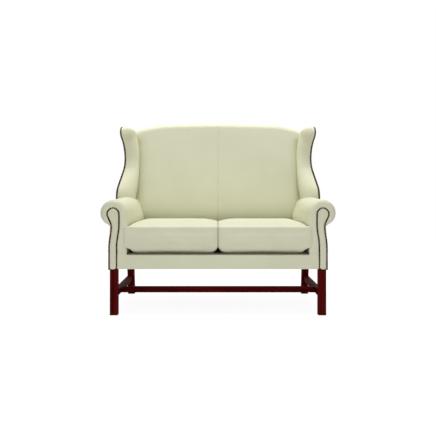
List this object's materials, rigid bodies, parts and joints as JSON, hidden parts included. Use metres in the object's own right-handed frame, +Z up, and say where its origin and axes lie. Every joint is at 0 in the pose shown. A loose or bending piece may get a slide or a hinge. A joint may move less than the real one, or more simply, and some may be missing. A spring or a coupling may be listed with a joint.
{
  "type": "high back settee",
  "caption": "High back settee with wings and rolled arms, leather over a timber frame, loose seat cushions, nailed arm fronts and square legs joined by stretchers.",
  "frame": {"origin": "on the floor, under the middle of the settee's overall box", "axes": "+X to the right seen from in front, the front faces -Y, +Z up"},
  "size_m": [1.305, 0.7954, 1.128],
  "materials": {
    "leather": "cream full grain leather with a soft sheen",
    "dark_wood": "dark red stained and polished hardwood",
    "frame_timber": "bare beech frame timber",
    "webbing": "woven jute webbing",
    "deck_cloth": "cream lining cloth",
    "dust_cloth": "black lining cloth",
    "cushion_filling": "foam wrapped in wadding"
  },
  "bodies": {
    "settee": {"arm_front_panel_left": "leather", "arm_front_panel_right": "leather", "arm_front_post_left": "frame_timber", "arm_front_post_right": "frame_timber", "arm_lower_rail_left": "frame_timber", "arm_lower_rail_right": "frame_timber", "arm_outside_panel_left": "leather", "arm_outside_panel_right": "leather", "arm_pad_left": "leather", "arm_pad_right": "leather", "arm_top_rail_left": "frame_timber", "arm_top_rail_right": "frame_timber", "back_centre_upright": "frame_timber", "back_lower_rail": "frame_timber", "back_post_left": "frame_timber", "back_post_right": "frame_timber", "back_top_rail": "frame_timber", "back_webbing": "webbing", "corner_block_front_left": "frame_timber", "corner_block_front_right": "frame_timber", "corner_block_rear_left": "frame_timber", "corner_block_rear_right": "frame_timber", "dust_cover": "dust_cloth", "front_border": "leather", "inside_back_pad": "leather", "leg_front_left": "dark_wood", "leg_front_right": "dark_wood", "leg_rear_left": "dark_wood", "leg_rear_right": "dark_wood", "outside_back_panel": "leather", "seat_deck": "deck_cloth", "seat_rail_centre": "frame_timber", "seat_rail_front": "frame_timber", "seat_rail_rear": "frame_timber", "seat_rail_side_left": "frame_timber", "seat_rail_side_right": "frame_timber", "seat_webbing": "webbing", "stretcher_cross": "dark_wood", "stretcher_side_left": "dark_wood", "stretcher_side_right": "dark_wood", "wing_frame_left": "frame_timber", "wing_frame_right": "frame_timber", "wing_outside_panel_left": "leather", "wing_outside_panel_right": "leather", "wing_pad_left": "leather", "wing_pad_right": "leather"},
    "seat_cushion_left": {"seat_cushion_cover_left": "leather", "seat_cushion_core_left": "cushion_filling"},
    "seat_cushion_right": {"seat_cushion_cover_right": "leather", "seat_cushion_core_right": "cushion_filling"}
  },
  "joints": [
    {"name": "lift_cushion_left", "type": "slide", "parent": "settee", "child": "seat_cushion_left", "axis": [0, 0, 1], "range_m": [0, 0.3]},
    {"name": "lift_cushion_right", "type": "slide", "parent": "settee", "child": "seat_cushion_right", "axis": [0, 0, 1], "range_m": [0, 0.3]}
  ]
}
